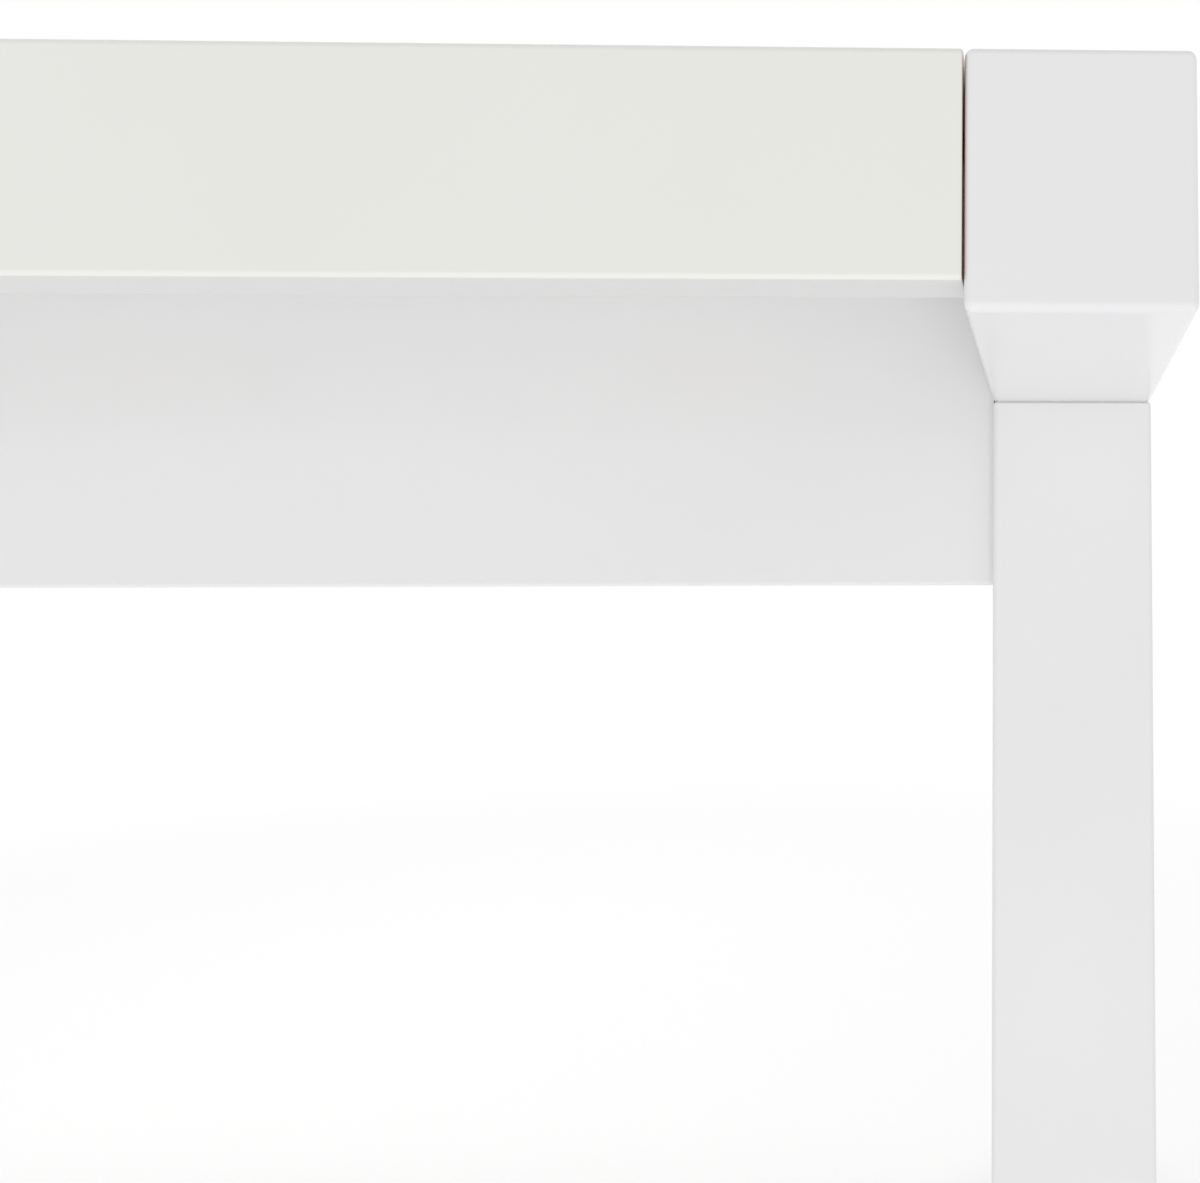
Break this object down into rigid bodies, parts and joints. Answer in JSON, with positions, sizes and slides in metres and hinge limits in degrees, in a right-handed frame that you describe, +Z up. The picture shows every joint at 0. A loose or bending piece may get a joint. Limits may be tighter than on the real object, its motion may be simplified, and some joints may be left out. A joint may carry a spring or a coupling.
{
  "type": "dining table",
  "caption": "White rectangular dining table: flush square end bars on inset square legs, a deep-edged top parted from the bars by a narrow seam, an inset apron frame and screw feet.",
  "frame": {"origin": "middle of the table on the floor, between the four feet", "axes": "+X along the table to the right, +Y to its back, +Z up; the picture looks at the front long side's right corner"},
  "size_m": [1.83, 0.94, 0.76],
  "materials": {
    "warm_white_lacquer": "satin lacquer",
    "white_lacquer": "semi-gloss lacquer",
    "bare_wood": "bare, sanded",
    "zinc_steel": "zinc plated",
    "foot_plastic": "moulded, matt"
  },
  "bodies": {
    "table": {"angle_brackets_left": "zinc_steel", "angle_brackets_right": "zinc_steel", "angle_screws": "zinc_steel", "apron_dowels": "bare_wood", "brace_screws": "zinc_steel", "bracket_screws": "zinc_steel", "bracket_washers": "zinc_steel", "clip_screws": "zinc_steel", "corner_bracket_back_left": "zinc_steel", "corner_bracket_back_right": "zinc_steel", "corner_bracket_front_left": "zinc_steel", "corner_bracket_front_right": "zinc_steel", "cross_brace_1": "bare_wood", "cross_brace_2": "bare_wood", "cross_brace_3": "bare_wood", "edge_rail_back": "warm_white_lacquer", "edge_rail_front": "warm_white_lacquer", "end_apron_left": "white_lacquer", "end_apron_right": "white_lacquer", "end_bar_left": "white_lacquer", "end_bar_right": "white_lacquer", "glue_blocks_back": "bare_wood", "glue_blocks_front": "bare_wood", "hanger_bolts": "zinc_steel", "leg_back_left": "white_lacquer", "leg_back_right": "white_lacquer", "leg_front_left": "white_lacquer", "leg_front_right": "white_lacquer", "leveller_inserts": "zinc_steel", "long_apron_back": "white_lacquer", "long_apron_front": "white_lacquer", "top_clips_back": "zinc_steel", "top_clips_front": "zinc_steel", "top_panel": "warm_white_lacquer", "wing_nuts": "zinc_steel"},
    "leveller_front_left": {"leveller_stem_front_left": "zinc_steel", "leveller_pad_front_left": "foot_plastic"},
    "leveller_front_right": {"leveller_stem_front_right": "zinc_steel", "leveller_pad_front_right": "foot_plastic"},
    "leveller_back_left": {"leveller_stem_back_left": "zinc_steel", "leveller_pad_back_left": "foot_plastic"},
    "leveller_back_right": {"leveller_stem_back_right": "zinc_steel", "leveller_pad_back_right": "foot_plastic"}
  },
  "joints": [
    {"name": "leveller_front_left_screw", "type": "slide", "parent": "table", "child": "leveller_front_left", "axis": [0, 0, -1], "range_m": [0, 0.012]},
    {"name": "leveller_front_right_screw", "type": "slide", "parent": "table", "child": "leveller_front_right", "axis": [0, 0, -1], "range_m": [0, 0.012]},
    {"name": "leveller_back_left_screw", "type": "slide", "parent": "table", "child": "leveller_back_left", "axis": [0, 0, -1], "range_m": [0, 0.012]},
    {"name": "leveller_back_right_screw", "type": "slide", "parent": "table", "child": "leveller_back_right", "axis": [0, 0, -1], "range_m": [0, 0.012]}
  ]
}
